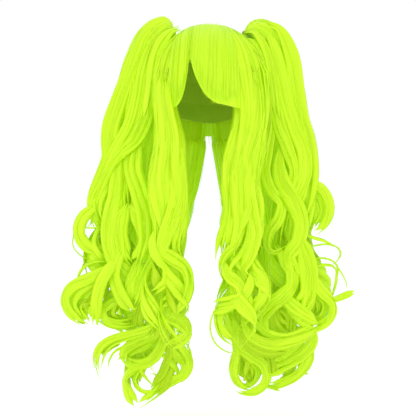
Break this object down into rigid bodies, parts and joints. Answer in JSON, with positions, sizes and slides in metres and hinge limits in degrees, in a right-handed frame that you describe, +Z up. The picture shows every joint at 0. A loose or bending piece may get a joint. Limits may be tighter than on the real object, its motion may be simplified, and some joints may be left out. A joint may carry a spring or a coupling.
{
  "type": "pigtail wig",
  "caption": "Long wavy pigtail wig in neon lime: a fitted open cap, parted fringe, face locks, parted back hair, and clipped pigtails that arch up and hang in curls.",
  "frame": {"origin": "the inside of the cap at its very top, where the wig sits on the head", "axes": "+Z up along the head, -Y the way the face looks, +X to the right in the front view"},
  "size_m": [0.5323, 0.2456, 0.7205],
  "materials": {
    "hair": "glossy synthetic fibre, neon lime",
    "cap_net": "matte stretch net and sewn weft, lime",
    "clip_plastic": "plain moulded plastic, lime"
  },
  "bodies": {
    "root": {"wig_cap": "cap_net", "crown_hair": "hair", "fringe_wide": "hair", "fringe_narrow": "hair", "face_lock_left": "hair", "face_lock_right": "hair", "back_hair_left": "hair", "back_hair_right": "hair", "pigtail_left": "hair", "pigtail_right": "hair", "pigtail_pad_left": "cap_net", "pigtail_pad_right": "cap_net", "pigtail_clip_left": "clip_plastic", "pigtail_clip_right": "clip_plastic"}
  },
  "joints": []
}
